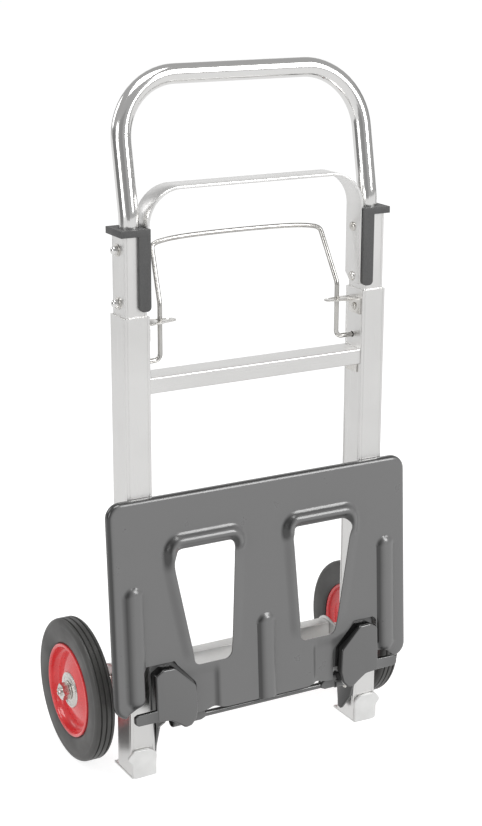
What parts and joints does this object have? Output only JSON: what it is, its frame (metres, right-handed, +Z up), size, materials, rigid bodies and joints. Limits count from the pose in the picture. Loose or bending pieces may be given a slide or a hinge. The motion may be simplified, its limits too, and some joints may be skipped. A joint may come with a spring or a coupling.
{
  "type": "hand truck",
  "caption": "Folding hand truck with telescopic aluminium frame, chrome loop handle, wire release bail, fold-up steel toe plate and solid rubber wheels.",
  "frame": {"origin": "on the floor under the middle of the truck's bounding box", "axes": "+X to the truck's right-hand upright as seen from the front, -Y the front (the toe plate's side), +Z up along the uprights"},
  "size_m": [0.438, 0.2066, 0.8079],
  "materials": {
    "aluminium": "satin extruded, anodised",
    "chrome": "bright polished",
    "zinc": "zinc plated",
    "silver_steel": "zinc plated, light",
    "silver_cast": "cast, silver grey",
    "plate_grey": "semi-matt powder coat",
    "black_enamel": "glossy enamel",
    "black_plastic": "matt moulded",
    "rubber": "solid moulded rubber",
    "red_enamel": "glossy enamel"
  },
  "bodies": {
    "lower_frame": {"left_upright": "aluminium", "right_upright": "aluminium", "cross_tube": "aluminium", "left_cross_bracket": "zinc", "right_cross_bracket": "zinc", "axle_beam": "silver_steel", "left_axle_bracket": "silver_steel", "right_axle_bracket": "silver_steel", "axle": "zinc", "left_spacer": "zinc", "right_spacer": "zinc", "left_axle_washer": "zinc", "right_axle_washer": "zinc", "left_axle_nut": "zinc", "right_axle_nut": "zinc", "left_foot": "silver_cast", "right_foot": "silver_cast", "left_guide_tab": "zinc", "right_guide_tab": "zinc", "left_tab_rivet": "zinc", "right_tab_rivet": "zinc", "left_pivot_pin": "zinc", "right_pivot_pin": "zinc", "bail_bow": "chrome"},
    "handle": {"handle_tube": "chrome", "left_inner_profile": "aluminium", "right_inner_profile": "aluminium", "left_cap": "black_plastic", "right_cap": "black_plastic", "back_strap": "aluminium", "left_lower_bolt": "zinc", "right_lower_bolt": "zinc", "left_upper_bolt": "zinc", "right_upper_bolt": "zinc", "left_lower_washer": "zinc", "right_lower_washer": "zinc", "left_upper_washer": "zinc", "right_upper_washer": "zinc", "left_lower_nut": "chrome", "right_lower_nut": "chrome", "left_upper_nut": "chrome", "right_upper_nut": "chrome"},
    "toe_plate": {"toe_panel": "plate_grey", "left_claw": "black_enamel", "right_claw": "black_enamel", "claw_rod": "black_enamel"},
    "left_wheel": {"left_tyre": "rubber", "left_rim": "red_enamel", "left_hub_disc": "zinc"},
    "right_wheel": {"right_tyre": "rubber", "right_rim": "red_enamel", "right_hub_disc": "zinc"},
    "bail_left": {"left_bail_leg": "chrome"},
    "bail_right": {"right_bail_leg": "chrome"}
  },
  "joints": [
    {"name": "handle_slide", "type": "slide", "parent": "lower_frame", "child": "handle", "axis": [0, 0, 1], "range_m": [0, 0.3]},
    {"name": "toe_plate_hinge", "type": "hinge", "parent": "lower_frame", "child": "toe_plate", "pos_m": [0, -0.0582, 0.05], "axis": [1, 0, 0], "range_deg": [0, 93.5]},
    {"name": "left_wheel_spin", "type": "hinge", "parent": "lower_frame", "child": "left_wheel", "pos_m": [-0.1955, 0.0183, 0.085], "axis": [1, 0, 0], "continuous": true},
    {"name": "right_wheel_spin", "type": "hinge", "parent": "lower_frame", "child": "right_wheel", "pos_m": [0.1915, 0.0183, 0.085], "axis": [1, 0, 0], "continuous": true},
    {"name": "left_bail_squeeze", "type": "hinge", "parent": "lower_frame", "child": "bail_left", "pos_m": [-0.1085, -0.0172, 0.612], "axis": [0, -1, 0], "range_deg": [0, 4.5], "stiffness_Nm_per_rad": 4},
    {"name": "right_bail_squeeze", "type": "hinge", "parent": "lower_frame", "child": "bail_right", "pos_m": [0.1085, -0.0172, 0.612], "axis": [0, 1, 0], "range_deg": [0, 4.5], "stiffness_Nm_per_rad": 4}
  ],
  "couplings": [
    {"joint": "right_bail_squeeze", "follows": "left_bail_squeeze", "ratio": 1}
  ]
}
